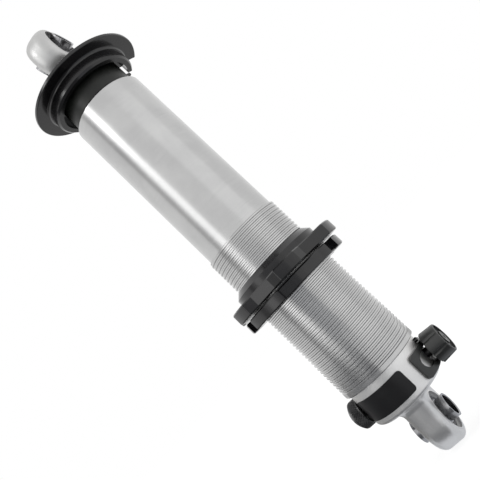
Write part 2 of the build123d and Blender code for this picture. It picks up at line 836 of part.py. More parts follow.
export_step(seat_nut.part, "parts/seat_nut.step")

# Adjuster internals, the same on both sides apart from the length of the shaft
for side, knob_name, shaft_end, screw_hole in (
    (1, "fluted", fluted_shaft_end, knob_screw_radius + static_fit),
    (-1, "knurled", knurled_shaft_end, 0),
):
    adjuster_plane = Plane(origin=(0, 0, adjuster_height), x_dir=(side, 0, 0), z_dir=(0, -side, 0))
    adjuster_axis = Axis((0, 0, adjuster_height), (side, 0, 0))

    with BuildPart() as needle:
        with BuildSketch(Plane(origin=(side * needle_start, 0, adjuster_height), z_dir=(side, 0, 0))):
            Circle(needle_radius)
        extrude(amount=needle_length)
        with BuildSketch(adjuster_plane):
            with BuildLine():
                Polyline(
                    (needle_start - needle_tip_length, 0),
                    (needle_start - needle_tip_length, needle_tip_radius),
                    (needle_start, needle_flat),
                    (needle_start, 0),
                    close=True,
                )
            make_face()
        revolve(axis=adjuster_axis)
        with BuildSketch(Plane.XY.offset(adjuster_height - needle_flat)):
            Rectangle(4 * needle_end, 3 * needle_radius)
        extrude(amount=2 * needle_flat, mode=Mode.INTERSECT)
        with BuildSketch(Plane(origin=(side * needle_end, 0, adjuster_height), z_dir=(side, 0, 0))):
            Circle(stem_radius + running)
        extrude(amount=-(needle_length - 2 * needle_end_room), mode=Mode.SUBTRACT)
    needle.part.label = f"{knob_name}_needle"
    export_step(needle.part, f"parts/{knob_name}_needle.step")

    with BuildPart() as shaft:
        with BuildSketch(adjuster_plane):
            with BuildLine():
                Polyline(
                    (collar_start - stem_reach, 0),
                    (collar_start - stem_reach, stem_radius),
                    (collar_start, stem_radius),
                    (collar_start, collar_radius),
                    (collar_end, collar_radius),
                    (collar_end, shaft_radius),
                    (shaft_end, shaft_radius),
                    (shaft_end, 0),
                    close=True,
                )
            make_face()
        revolve(axis=adjuster_axis)
        if screw_hole:
            with BuildSketch(Plane(origin=(side * shaft_end, 0, adjuster_height), z_dir=(side, 0, 0))):
                Circle(screw_hole)
            extrude(amount=-knob_screw_reach - knob_screw_radius, mode=Mode.SUBTRACT)
    shaft.part.label = f"{knob_name}_shaft"
    export_step(shaft.part, f"parts/{knob_name}_shaft.step")

    groove_middle = (gland_start + gland_end) / 2
    groove_radius = shaft_radius + 2 * running + 2 * shaft_oring_section
    with BuildPart() as gland:
        with BuildSketch(Plane(origin=(side * gland_start, 0, adjuster_height), z_dir=(side, 0, 0))):
            Circle(adjuster_bore_radius - static_fit)
            Circle(shaft_radius + running, mode=Mode.SUBTRACT)
        extrude(amount=gland_length)
        groove_plane = Plane(
            origin=(side * (groove_middle - shaft_oring_groove / 2), 0, adjuster_height),
            z_dir=(side, 0, 0),
        )
        with BuildSketch(groove_plane):
            Circle(groove_radius)
        extrude(amount=shaft_oring_groove, mode=Mode.SUBTRACT)
    gland.part.label = f"{knob_name}_gland"
    export_step(gland.part, f"parts/{knob_name}_gland.step")

    with BuildPart() as shaft_oring:
        with BuildSketch(adjuster_plane):
            with Locations((groove_middle, shaft_radius + running + shaft_oring_section)):
                Circle(shaft_oring_section)
        revolve(axis=adjuster_axis)
    shaft_oring.part.label = f"{knob_name}_oring"
    export_step(shaft_oring.part, f"parts/{knob_name}_oring.step")

# Fluted knob, narrower at its outer end, held by a screw in its recess
fluted_plane = Plane(origin=(0, 0, adjuster_height), x_dir=(1, 0, 0), z_dir=(0, -1, 0))
fluted_axis = Axis((0, 0, adjuster_height), (1, 0, 0))
head_seat = fluted_end - knob_screw_head - static_fit - running
with BuildPart() as fluted_knob:
    with BuildSketch(fluted_plane):
        with BuildLine():
            Polyline(
                (fluted_start, 0),
                (fluted_start, fluted_under_radius),
                (fluted_start + fluted_under_taper, fluted_bottom_radius),
                (fluted_end, fluted_top_radius),
                (fluted_end, 0),
                close=True,
            )
        make_face()
    revolve(axis=fluted_axis)
    fillet(fluted_knob.edges().group_by(Axis.X)[-1], fluted_rounding)
    with BuildSketch(Plane.YZ.offset(fluted_start)):
        with Locations((0, adjuster_height)):
            with PolarLocations(
                fluted_bottom_radius + flute_inset,
                flute_count,
                start_angle=180 + flute_angle,
            ):
                Circle(flute_radius)
    extrude(amount=fluted_height, mode=Mode.SUBTRACT)
    with BuildSketch(Plane.YZ.offset(fluted_start)):
        with Locations((0, adjuster_height)):
            Circle(shaft_radius + static_fit)
    extrude(amount=fluted_shaft_end - fluted_start, mode=Mode.SUBTRACT)
    with BuildSketch(Plane.YZ.offset(fluted_shaft_end)):
        with Locations((0, adjuster_height)):
            Circle(knob_screw_radius + static_fit)
    extrude(amount=fluted_shaft_cover, mode=Mode.SUBTRACT)
    with BuildSketch(Plane.YZ.offset(head_seat)):
        with Locations((0, adjuster_height)):
            Circle(knob_screw_head_radius + running)
    extrude(amount=fluted_end - head_seat, mode=Mode.SUBTRACT)
fluted_knob.part.label = "fluted_knob"
export_step(fluted_knob.part, "parts/fluted_knob.step")

with BuildPart() as knob_screw:
    with BuildSketch(Plane.YZ.offset(head_seat + static_fit)):
        with Locations((0, adjuster_height)):
            Circle(knob_screw_head_radius)
    extrude(amount=knob_screw_head)
    with BuildSketch(Plane.YZ.offset(fluted_shaft_end - knob_screw_reach)):
        with Locations((0, adjuster_height)):
            Circle(knob_screw_radius)
    extrude(amount=head_seat + static_fit - fluted_shaft_end + knob_screw_reach)
    with BuildSketch(Plane.YZ.offset(head_seat + static_fit + knob_screw_head)):
        with Locations((0, adjuster_height)):
            RegularPolygon(knob_screw_socket, 6)
    extrude(amount=-knob_screw_head / 2, mode=Mode.SUBTRACT)
knob_screw.part.label = "knob_screw"
export_step(knob_screw.part, "parts/knob_screw.step")

# Knurled knob with a domed end; the knurl is left plain at its crest
set_screw_station = knurled_start + knurled_wall / 2
with BuildPart() as knurled_knob:
    with BuildSketch(fluted_plane):
        with BuildLine():
            shoulder = (-knurled_start - knurled_wall, knurled_radius)
            Polyline((-knurled_end, 0), (-knurled_start, 0), (-knurled_start, knurled_radius), shoulder)
            dome_radius = (knurled_radius**2 + knurled_dome**2) / (2 * knurled_dome)
            RadiusArc(shoulder, (-knurled_end, 0), -dome_radius)
        make_face()
    revolve(axis=fluted_axis)
    with BuildSketch(Plane.YZ.offset(-knurled_start)):
        with Locations((0, adjuster_height)):
            Circle(shaft_radius + static_fit)
    extrude(amount=knurled_start - knurled_shaft_end, mode=Mode.SUBTRACT)
    with BuildSketch(Plane.XZ):
        with Locations((-set_screw_station, adjuster_height)):
            Circle(set_screw_radius + static_fit)
    extrude(amount=-knurled_radius - cut_past, mode=Mode.SUBTRACT)
knurled_knob.part.label = "knurled_knob"
export_step(knurled_knob.part, "parts/knurled_knob.step")

with BuildPart() as set_screw:
    with BuildSketch(Plane.XZ.offset(-shaft_radius - running)):
        with Locations((-set_screw_station, adjuster_height)):
            Circle(set_screw_radius)
    extrude(amount=-set_screw_length)
    with BuildSketch(Plane.XZ.offset(-shaft_radius - running - set_screw_length)):
        with Locations((-set_screw_station, adjuster_height)):
            RegularPolygon(set_screw_socket, 6)
    extrude(amount=set_screw_length / 2, mode=Mode.SUBTRACT)
set_screw.part.label = "set_screw"
export_step(set_screw.part, "parts/set_screw.step")

# Curved saddle under the fluted knob, with a long window
with BuildPart() as knob_saddle:
    with BuildSketch(Plane.XY.offset(adjuster_height - saddle_height / 2)):
        add(
            sector(
                base_radius + static_fit,
                base_radius + saddle_thickness,
                -saddle_half_angle,
                saddle_half_angle,
            )
        )
    extrude(amount=saddle_height)
    corners = knob_saddle.edges().filter_by(GeomType.LINE).filter_by(Axis.Z, reverse=True)
    fillet(corners, saddle_corner)
    with BuildSketch(Plane.YZ.offset(base_radius / 2)):
        with Locations((0, adjuster_height)):
            SlotOverall(window_length, window_width)
    extrude(amount=base_radius, mode=Mode.SUBTRACT)
knob_saddle.part.label = "knob_saddle"
export_step(knob_saddle.part, "parts/knob_saddle.step")

with BuildPart() as saddle_dowel:
    with Locations(
        Location(
            (
                (base_radius - dowel_depth + static_fit) * cos(radians(dowel_angle)),
                (base_radius - dowel_depth + static_fit) * sin(radians(dowel_angle)),
                adjuster_height + saddle_height / 2 + dowel_gap + dowel_radius,
            ),
            (0, 90, dowel_angle),
        )
    ):
        Cylinder(
            dowel_radius,
            dowel_depth + 0.9 * saddle_thickness,
            align=(Align.CENTER, Align.CENTER, Align.MIN),
        )
saddle_dowel.part.label = "saddle_dowel"
export_step(saddle_dowel.part, "parts/saddle_dowel.step")

# Blank plate on the front of the base
with BuildPart() as blank_plate:
    with BuildSketch(Plane.XY.offset(plate_bottom)):
        add(
            sector(
                base_radius + static_fit,
                base_radius + plate_thickness,
                plate_first_angle,
                plate_last_angle,
            )
        )
    extrude(amount=plate_height)
    corners = blank_plate.edges().filter_by(GeomType.LINE).filter_by(Axis.Z, reverse=True)
    fillet(corners, plate_corner)
blank_plate.part.label = "blank_plate"
export_step(blank_plate.part, "parts/blank_plate.step")
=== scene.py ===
import json
import math

import bmesh
import bpy
from mathutils import Matrix, Vector


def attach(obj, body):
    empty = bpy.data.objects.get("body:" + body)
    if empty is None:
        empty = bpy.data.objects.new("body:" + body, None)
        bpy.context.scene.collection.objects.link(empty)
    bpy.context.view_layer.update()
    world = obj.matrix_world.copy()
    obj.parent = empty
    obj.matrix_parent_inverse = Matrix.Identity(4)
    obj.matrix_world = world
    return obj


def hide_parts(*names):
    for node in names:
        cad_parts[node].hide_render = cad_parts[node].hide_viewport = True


# Coilover shock absorber without its spring, standing on its lower eye.
# +Z runs up the damper, +X is the lower bolt axis on the fluted knob's side. Metres.

MM = 0.001
WELD_GAP = 0.002 * MM
MERGE_GAP = 0.001 * MM
THREAD_GAP = 0.01 * MM
CAD_CREASE = 28.0
TUBE_CREASE = 32.0
KNOB_CREASE = 24.0

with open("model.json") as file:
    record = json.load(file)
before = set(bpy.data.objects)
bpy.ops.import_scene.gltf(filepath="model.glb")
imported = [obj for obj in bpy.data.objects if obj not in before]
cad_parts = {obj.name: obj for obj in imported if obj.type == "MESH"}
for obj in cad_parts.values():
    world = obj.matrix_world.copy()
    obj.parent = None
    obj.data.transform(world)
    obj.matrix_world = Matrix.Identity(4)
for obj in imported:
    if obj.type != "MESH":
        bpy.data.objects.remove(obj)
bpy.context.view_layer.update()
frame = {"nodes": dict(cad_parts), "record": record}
nodes = frame["nodes"]


class Value:
    """One socket of a node tree. Sums and products of values add Math nodes."""

    def __init__(self, tree, socket):
        self.tree = tree
        self.socket = socket

    def node(self, kind, settings=None, output=0, **inputs):
        """Adds any node: its settings first, then its sockets' values or links.
        A socket goes by its name with _ for a space, or by i and its number."""
        made = self.tree.nodes.new(kind)
        for name, setting in (settings or {}).items():
            setattr(made, name, setting)
        for name, given in inputs.items():
            numbered = name[0] == "i" and name[1:].isdigit()
            place = int(name[1:]) if numbered else name.replace("_", " ")
            if isinstance(given, Value):
                self.tree.links.new(given.socket, made.inputs[place])
            else:
                made.inputs[place].default_value = given
        return Value(self.tree, made.outputs[output])

    def math(self, operation, other, swap=False):
        first, second = (other, self) if swap else (self, other)
        return self.node("ShaderNodeMath", {"operation": operation}, i0=first, i1=second)

    def __add__(self, other):
        return self.math("ADD", other)

    def __radd__(self, other):
        return self.math("ADD", other, swap=True)

    def __sub__(self, other):
        return self.math("SUBTRACT", other)

    def __rsub__(self, other):
        return self.math("SUBTRACT", other, swap=True)

    def __mul__(self, other):
        return self.math("MULTIPLY", other)

    def __rmul__(self, other):
        return self.math("MULTIPLY", other, swap=True)

    def stretched(self, across, along):
        """Coordinates in millimetres, squeezed by across in X and Y and by along in Z."""
        return self.node(
            "ShaderNodeVectorMath", {"operation": "MULTIPLY"},
            i0=self, i1=(across / MM, across / MM, along / MM),
        )

    def noise(self, size, detail=2.0):
        return self.node("ShaderNodeTexNoise", Vector=self, Scale=size, Detail=detail)

    def step(self, low, high):
        """0 below low, 1 above high, smooth between."""
        return self.node(
            "ShaderNodeMapRange", {"interpolation_type": "SMOOTHSTEP", "clamp": True},
            Value=self, From_Min=low, From_Max=high,
        )

    def between(self, first, second):
        """Colour from first to second as this value goes from 0 to 1."""
        return self.node(
            "ShaderNodeMix", {"data_type": "RGBA"}, output=2,
            i0=self, i6=(*first, 1.0), i7=(*second, 1.0),
        )


def start_material(name):
    made = bpy.data.materials.new(name)
    made.use_nodes = True
    tree = made.node_tree
    tree.nodes.clear()
    shader = tree.nodes.new("ShaderNodeBsdfPrincipled")
    output = tree.nodes.new("ShaderNodeOutputMaterial")
    tree.links.new(shader.outputs[0], output.inputs["Surface"])
    place = tree.nodes.new("ShaderNodeTexCoord")
    return made, shader, Value(tree, place.outputs["Object"])


def connect(shader, socket, value):
    value.tree.links.new(value.socket, shader.inputs[socket])


# Share of the slow clouding in the colour, and the noise that runs from dark to pale
SLOW_SHARE = 0.7
TONE_RANGE = (0.35, 0.65)

# Scuffs: squeeze across and along the damper, dots per millimetre, noise they start in
SCUFF_LIE = (1.0, 0.6)
SCUFF_GRAIN = 0.9
SCUFF_RANGE = (0.66, 0.78)

# Lower eye, in millimetres: circlip groove and face by radius, neck by height
BORE_GROOVE = 13.4
EYE_FACE = 13.6
NECK_FROM = 4.0
NECK_TO = 18.0


def crowned_eye(place):
    """Square of the distance from the lower eye's middle plane in square millimetres,
    fading out up the neck and left out in the bore."""
    across, inward, upward = (
        place.node("ShaderNodeSeparateXYZ", output=axis, Vector=place) * (1 / MM)
        for axis in range(3)
    )
    outside = (inward * inward + upward * upward).step(BORE_GROOVE**2, EYE_FACE**2)
    return across * across * outside * (1.0 - upward.step(NECK_FROM, NECK_TO))


def finish(
    name, pale, dark, metallic, roughness, spread, grain, depth,
    lie=(1.0, 1.0), cloud=0.05, specular=0.5, scuff=0.0, crown=0.0,
):
    """One surface finish. Colour runs between pale and dark with slow clouding, roughness
    spreads round its middle, and a grain of that many dots per millimetre stands up by its
    depth in millimetres. Lie squeezes the grain across and along the damper. A crown is the
    radius in millimetres that the lower eye's face is rounded to."""
    made, shader, place = start_material(name)
    slow = place.stretched(1.0, 1.0).noise(cloud, detail=4.0)
    fine = place.stretched(*lie).noise(grain, detail=3.0)
    tone = (slow * SLOW_SHARE + fine * (1.0 - SLOW_SHARE)).step(*TONE_RANGE)
    marks = place.stretched(*SCUFF_LIE).noise(SCUFF_GRAIN, detail=5.0).step(*SCUFF_RANGE) * scuff
    connect(shader, "Base Color", tone.between(dark, pale))
    connect(shader, "Roughness", (slow - 0.5) * spread + (fine - 0.5) * spread + marks + roughness)
    height = fine
    if crown:
        height = fine + crowned_eye(place) * (-1 / (2 * crown * depth))
    bump = height.node(
        "ShaderNodeBump", Height=height, Distance=depth * MM, Strength=1.0,
    )
    connect(shader, "Normal", bump)
    shader.inputs["Metallic"].default_value = metallic
    shader.inputs["Specular IOR Level"].default_value = specular
    return made


blasted_aluminium = finish(
    "blasted aluminium", pale=(0.79, 0.785, 0.775), dark=(0.71, 0.705, 0.695),
    metallic=1.0, roughness=0.40, spread=0.08, grain=2.2, depth=0.02,
    scuff=0.05, crown=14.0,
)
turned_aluminium = finish(
    "turned aluminium", pale=(0.53, 0.53, 0.528), dark=(0.48, 0.48, 0.48),
    metallic=1.0, roughness=0.22, spread=0.05, grain=0.9, depth=0.0025,
    lie=(0.05, 4.0), scuff=0.03,
)
ground_chrome = finish(
    "ground chrome", pale=(0.78, 0.79, 0.80), dark=(0.72, 0.73, 0.74),
    metallic=1.0, roughness=0.10, spread=0.03, grain=1.5, depth=0.0008,
    lie=(0.1, 3.0),
)
bright_steel = finish(
    "bright steel", pale=(0.62, 0.62, 0.63), dark=(0.54, 0.54, 0.55),
    metallic=1.0, roughness=0.22, spread=0.06, grain=1.8, depth=0.0015,
    scuff=0.05,
)
bearing_steel = finish(
    "bearing steel", pale=(0.40, 0.40, 0.41), dark=(0.32, 0.32, 0.33),
    metallic=1.0, roughness=0.20, spread=0.06, grain=2.0, depth=0.0008,
    scuff=0.03,
)
rod_end_aluminium = finish(
    "rod end aluminium", pale=(0.56, 0.56, 0.555), dark=(0.48, 0.48, 0.475),
    metallic=1.0, roughness=0.42, spread=0.08, grain=2.2, depth=0.02,
    scuff=0.05,
)
spacer_steel = finish(
    "spacer steel", pale=(0.42, 0.42, 0.43), dark=(0.33, 0.33, 0.34),
    metallic=1.0, roughness=0.22, spread=0.05, grain=1.6, depth=0.001,
    lie=(0.1, 2.0),
)
# Dark steel: a black-oxide finish on the knob screw; on the glands and shafts under the knobs its
# dark colour is painted shade, and the saddle dowel is drawn dark too.
dark_steel_and_painted_shade = finish(
    "blackened steel and painted shade", pale=(0.10, 0.10, 0.10), dark=(0.05, 0.05, 0.05),
    metallic=1.0, roughness=0.34, spread=0.08, grain=1.8, depth=0.003,
    scuff=0.05,
)
bronze = finish(
    "sintered bronze", pale=(0.55, 0.38, 0.18), dark=(0.42, 0.28, 0.12),
    metallic=1.0, roughness=0.38, spread=0.08, grain=2.5, depth=0.01,
)
seal_rubber = finish(
    "seal rubber", pale=(0.022, 0.022, 0.022), dark=(0.012, 0.012, 0.012),
    metallic=0.0, roughness=0.55, spread=0.10, grain=2.0, depth=0.01,
)
filled_plastic = finish(
    "filled band plastic", pale=(0.34, 0.25, 0.15), dark=(0.24, 0.17, 0.10),
    metallic=0.0, roughness=0.5, spread=0.10, grain=2.0, depth=0.01,
)
bumper_rubber = finish(
    "bumper rubber", pale=(0.014, 0.016, 0.013), dark=(0.006, 0.007, 0.006),
    metallic=0.0, roughness=0.40, spread=0.12, grain=1.4, depth=0.012,
    cloud=0.12, scuff=0.14, specular=0.42,
)
black_anodised = finish(
    "black anodised aluminium", pale=(0.010, 0.009, 0.010), dark=(0.004, 0.004, 0.005),
    metallic=0.0, roughness=0.17, spread=0.05, grain=2.0, depth=0.0015,
    specular=0.55, scuff=0.05,
)
black_plastic = finish(
    "moulded black plastic", pale=(0.018, 0.019, 0.018), dark=(0.009, 0.010, 0.009),
    metallic=0.0, roughness=0.34, spread=0.06, grain=2.0, depth=0.006,
    specular=0.65, scuff=0.05,
)
black_knurl = finish(
    "knurled black aluminium", pale=(0.018, 0.018, 0.019), dark=(0.008, 0.008, 0.009),
    metallic=0.0, roughness=0.26, spread=0.06, grain=2.0, depth=0.002,
    specular=0.55,
)
black_film = finish(
    "black plate", pale=(0.012, 0.012, 0.013), dark=(0.008, 0.008, 0.009),
    metallic=0.0, roughness=0.30, spread=0.05, grain=1.5, depth=0.002,
    specular=0.28, scuff=0.04,
)

FINISHES = {
    "cast_aluminium": blasted_aluminium,
    "satin_aluminium": turned_aluminium,
    "ground_steel": ground_chrome,
    "bright_steel": bright_steel,
    "bearing_steel": bearing_steel,
    "bronze": bronze,
    "seal_rubber": seal_rubber,
    "piston_band": filled_plastic,
    "bump_rubber": bumper_rubber,
    "black_anodised": black_anodised,
    "black_plastic": black_plastic,
    "black_knurled": black_knurl,
    "black_plate": black_film,
}
OWN_FINISHES = {
    "upper_eye": rod_end_aluminium,
    "lower_spacers": spacer_steel,
    "upper_spacers": spacer_steel,
    # Glands and shafts under the knobs take dark steel in place of their slot's bright steel as
    # painted shade; the knob screw takes it as black oxide.
    "fluted_gland": dark_steel_and_painted_shade,
    "fluted_shaft": dark_steel_and_painted_shade,
    "knurled_gland": dark_steel_and_painted_shade,
    "knurled_shaft": dark_steel_and_painted_shade,
    "knob_screw": dark_steel_and_painted_shade,
    "saddle_dowel": dark_steel_and_painted_shade,
}


# The CAD pieces
def crease(obj, angle):
    """Splits the edges that turn by more than the angle, so that they shade sharp."""
    split = obj.modifiers.new("crease", "EDGE_SPLIT")
    split.split_angle = math.radians(angle)
    split.use_edge_sharp = False


def soften(obj):
    """Welds loose triangles and shades them smooth between the creases."""
    for polygon in obj.data.polygons:
        polygon.use_smooth = True
    weld = obj.modifiers.new("weld", "WELD")
    weld.merge_threshold = WELD_GAP
    crease(obj, CAD_CREASE)
    even = obj.modifiers.new("even", "WEIGHTED_NORMAL")
    even.mode = "FACE_AREA_WITH_ANGLE"
    even.weight = 80


for part in frame["record"]["subparts"]:
    node = nodes[part["node"]]
    node.data.materials.clear()
    node.data.materials.append(OWN_FINISHES.get(part["node"], FINISHES[part["material_slot"]]))
    soften(node)


def add_piece(name, bm, material, body, smooth=True):
    """Makes a bmesh into a named piece that rides on a CAD body."""
    mesh = bpy.data.meshes.new(name)
    bmesh.ops.recalc_face_normals(bm, faces=bm.faces[:])
    bm.to_mesh(mesh)
    bm.free()
    for polygon in mesh.polygons:
        polygon.use_smooth = smooth
    mesh.materials.append(material)
    obj = bpy.data.objects.new(name, mesh)
    bpy.context.scene.collection.objects.link(obj)
    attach(obj, body)
    return obj


def draw_line(bm, points):
    """Adds a line of edges through (x, z) points of the XZ plane, in millimetres."""
    verts = [bm.verts.new((x * MM, 0.0, z * MM)) for x, z in points]
    edges = [bm.edges.new(pair) for pair in zip(verts, verts[1:])]
    return verts + edges


def quarter_arc(first, second, radius, steps):
    """Points round a corner, from (first, second + radius) to (first + radius, second)."""
    turns = [math.pi / 2 * step / steps for step in range(steps + 1)]
    return [(first + radius * math.sin(turn), second + radius * math.cos(turn)) for turn in turns]


# Body tube with its thread, in millimetres
TUBE_BORE = 23.0
TUBE_RADIUS = 26.1
TUBE_BOTTOM = 43.0
TUBE_TOP = 275.7
RIM = 1.5
RIM_STEPS = 6
FOOT_CHAMFER = 0.4
END_DEPTH = 0.3
THREAD_CREST = 27.5
THREAD_ROOT = 26.7
THREAD_FROM = 46.0
THREAD_TO = 155.5
PITCH = 2.5
GROOVE_WIDTH = 1.5
GROOVE_FLAT = 0.75
GROOVE_EDGE = 0.08
SWEEP_STEPS = 128


def make_body_tube():
    """Plain wall from one section, with a helical thread swept on and closed into it."""
    bm = bmesh.new()
    rim = quarter_arc(TUBE_RADIUS - RIM, TUBE_TOP - RIM, RIM, RIM_STEPS)
    wall = [
        (TUBE_BORE, TUBE_BOTTOM), (TUBE_BORE, TUBE_TOP), *rim,
        (TUBE_RADIUS, THREAD_FROM), (THREAD_CREST, THREAD_FROM),
        (THREAD_CREST, TUBE_BOTTOM + FOOT_CHAMFER), (THREAD_CREST - FOOT_CHAMFER, TUBE_BOTTOM),
        (TUBE_BORE, TUBE_BOTTOM),
    ]
    bmesh.ops.spin(
        bm, geom=draw_line(bm, wall), cent=(0, 0, 0), axis=(0, 0, 1),
        angle=2 * math.pi, steps=SWEEP_STEPS, use_merge=True,
    )
    bmesh.ops.remove_doubles(bm, verts=bm.verts[:], dist=MERGE_GAP)

    thread = bmesh.new()
    outline = []
    for turn in range(-1, round((THREAD_TO - THREAD_FROM) / PITCH) + 1):
        middle = THREAD_FROM + turn * PITCH
        outline += [
            (THREAD_CREST, middle - GROOVE_WIDTH / 2 - GROOVE_EDGE),
            (THREAD_CREST - GROOVE_EDGE, middle - GROOVE_WIDTH / 2),
            (THREAD_ROOT, middle - GROOVE_FLAT / 2),
            (THREAD_ROOT, middle + GROOVE_FLAT / 2),
            (THREAD_CREST - GROOVE_EDGE, middle + GROOVE_WIDTH / 2),
            (THREAD_CREST, middle + GROOVE_WIDTH / 2 + GROOVE_EDGE),
        ]
    bmesh.ops.spin(
        thread, geom=draw_line(thread, outline), cent=(0, 0, 0), axis=(0, 0, 1),
        dvec=(0, 0, PITCH * MM / SWEEP_STEPS), angle=2 * math.pi, steps=SWEEP_STEPS,
    )
    bmesh.ops.remove_doubles(thread, verts=thread.verts[:], dist=THREAD_GAP)
    for height, up in ((THREAD_FROM, False), (THREAD_TO, True)):
        bmesh.ops.bisect_plane(
            thread, geom=thread.verts[:] + thread.edges[:] + thread.faces[:],
            plane_co=(0, 0, height * MM), plane_no=(0, 0, 1),
            clear_outer=up, clear_inner=not up,
        )
        ends = [e for e in thread.edges if e.is_boundary and all(
            abs(v.co.z - height * MM) < MERGE_GAP for v in e.verts)]
        made = bmesh.ops.extrude_edge_only(thread, edges=ends)["geom"]
        moved = [v for v in made if isinstance(v, bmesh.types.BMVert)]
        for vert in moved:
            inward = (TUBE_RADIUS - END_DEPTH) * MM / vert.co.xy.length
            vert.co.x *= inward
            vert.co.y *= inward
    bmesh.ops.recalc_face_normals(thread, faces=thread.faces[:])
    holder = bpy.data.meshes.new("thread")
    thread.to_mesh(holder)
    thread.free()
    bm.from_mesh(holder)
    bpy.data.meshes.remove(holder)
    tube = add_piece("threaded_body_tube", bm, turned_aluminium, "housing")
    crease(tube, TUBE_CREASE)
    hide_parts("body_tube")


make_body_tube()


# Adjuster knobs, in millimetres
ADJUSTER_HEIGHT = 29.5
FLUTED_START = 27.9
FLUTED_END = 38.6
UNDER_RADIUS = 7.5
UNDER_TAPER = 0.8
BOTTOM_RADIUS = 10.3
TOP_RADIUS = 9.6
TOP_ROUNDING = 0.8
TOP_STEPS = 4
RECESS_OUTER = 8.3
RECESS_INNER = 4.15
RECESS_DEPTH = 1.3
RECESS_DRAFT = 0.1
RECESS_CHAMFER = 0.15
SCREW_HEAD_RADIUS = 3.25
SCREW_SEAT = 36.72
SCREW_RADIUS = 1.47
SHAFT_END = 34.0
SHAFT_RADIUS = 3.02
FLUTED_STEPS = 252
FLUTE_COUNT = 7
FLUTE_CENTRE = 10.9
FLUTE_RADIUS = 1.5
FLUTE_START = 188.8
KNURL_FROM = -26.2
KNURL_TO = -31.8
KNURL_ROWS = 8
KNURL_COLUMNS = 76
KNURL_INNER = 8.9
KNURL_VALLEY = 9.12
KNURL_DEPTH = 0.35


def fluted_outline():
    """Section through the fluted knob as (distance along X, radius)."""
    floor = FLUTED_END - RECESS_DEPTH
    side = (FLUTED_START + UNDER_TAPER, BOTTOM_RADIUS)
    top = quarter_arc(
        FLUTED_END - TOP_ROUNDING, TOP_RADIUS - TOP_ROUNDING, TOP_ROUNDING, TOP_STEPS)
    middle = ((side[0] + top[0][0]) / 2, (side[1] + top[0][1]) / 2)
    return [
        (FLUTED_START, SHAFT_RADIUS), (FLUTED_START, UNDER_RADIUS), side, middle, *top,
        (FLUTED_END, RECESS_OUTER + RECESS_CHAMFER), (FLUTED_END - RECESS_CHAMFER, RECESS_OUTER),
        (floor, RECESS_OUTER - RECESS_DRAFT), (floor, RECESS_INNER + RECESS_DRAFT),
        (FLUTED_END - RECESS_CHAMFER, RECESS_INNER), (FLUTED_END, RECESS_INNER - RECESS_CHAMFER),
        (FLUTED_END, SCREW_HEAD_RADIUS), (SCREW_SEAT, SCREW_HEAD_RADIUS),
        (SCREW_SEAT, SCREW_RADIUS), (SHAFT_END, SCREW_RADIUS), (SHAFT_END, SHAFT_RADIUS),
    ]


def spin_knob(outline, steps):
    """Spins a closed outline once round the adjusters' axis."""
    bm = bmesh.new()
    around = [(x, ADJUSTER_HEIGHT + radius) for x, radius in outline + outline[:1]]
    bmesh.ops.spin(
        bm, geom=draw_line(bm, around), cent=(0, 0, ADJUSTER_HEIGHT * MM), axis=(1, 0, 0),
        angle=2 * math.pi, steps=steps, use_merge=True,
    )
    bmesh.ops.remove_doubles(bm, verts=bm.verts[:], dist=MERGE_GAP)
    return bm


def set_radius(vert, radius):
    """Moves a knob's vertex to a radius from the adjusters' axis."""
    from_axis = Vector((0.0, vert.co.y, vert.co.z - ADJUSTER_HEIGHT * MM))
    vert.co += from_axis.normalized() * (radius * MM - from_axis.length)


def make_fluted_knob():
    """Spun section whose rim is pushed in to the flutes' round floors."""
    bm = spin_knob(fluted_outline(), FLUTED_STEPS)
    spacing = math.radians(360 / FLUTE_COUNT)
    for vert in bm.verts:
        radius = math.hypot(vert.co.y, vert.co.z - ADJUSTER_HEIGHT * MM) / MM
        turn = math.atan2(vert.co.z - ADJUSTER_HEIGHT * MM, vert.co.y) - math.radians(FLUTE_START)
        off = (turn + spacing / 2) % spacing - spacing / 2
        half_chord = FLUTE_RADIUS**2 - (FLUTE_CENTRE * math.sin(off))**2
        if half_chord > 0:
            floor = FLUTE_CENTRE * math.cos(off) - math.sqrt(half_chord)
            if radius > floor:
                set_radius(vert, floor)
    knob = add_piece("fluted_adjuster_knob", bm, black_plastic, "fluted_knob")
    crease(knob, KNOB_CREASE)
    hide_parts("fluted_knob")


def make_knurl():
    """Sleeve in the knurled knob's wall, with every second vertex raised to a diamond."""
    pitch = (KNURL_TO - KNURL_FROM) / KNURL_ROWS
    rows = [(KNURL_FROM + pitch * row, KNURL_VALLEY) for row in range(KNURL_ROWS + 1)]
    bm = spin_knob([(KNURL_FROM, KNURL_INNER), *rows, (KNURL_TO, KNURL_INNER)], KNURL_COLUMNS)
    valleys = []
    for vert in bm.verts:
        from_axis = vert.co - Vector((vert.co.x, 0.0, ADJUSTER_HEIGHT * MM))
        if from_axis.length < (KNURL_INNER + KNURL_VALLEY) / 2 * MM:
            continue
        row = round((vert.co.x / MM - KNURL_FROM) / pitch)
        column = round(math.atan2(from_axis.z, from_axis.y) / (2 * math.pi) * KNURL_COLUMNS)
        if 0 < row < KNURL_ROWS and (row + column) % 2:
            set_radius(vert, KNURL_VALLEY + KNURL_DEPTH)
        else:
            valleys.append(vert)
    bmesh.ops.connect_verts(bm, verts=valleys)
    add_piece("knurl", bm, black_knurl, "knurled_knob", smooth=False)


make_fluted_knob()
make_knurl()


# Floor, light and camera; the camera's place and turn were fitted to the photograph
SENSOR_WIDTH = 36.0
LENS = 42.99
CAMERA_PLACE = (0.09604, -0.33626, 0.10059)
CAMERA_RIGHT = (0.631343, 0.300448, -0.714940)
CAMERA_UP = (0.722889, 0.105790, 0.682820)
CAMERA_BACK = (0.280784, -0.947916, -0.150400)
FLOOR_HEIGHT = -17.6 * MM
FLOOR_SIZE = 6.0
FLOOR_GREY = 0.30
AMBIENT = 0.80
COOL = (0.965, 0.99, 1.04)
NEUTRAL = (1.0, 1.0, 1.0)


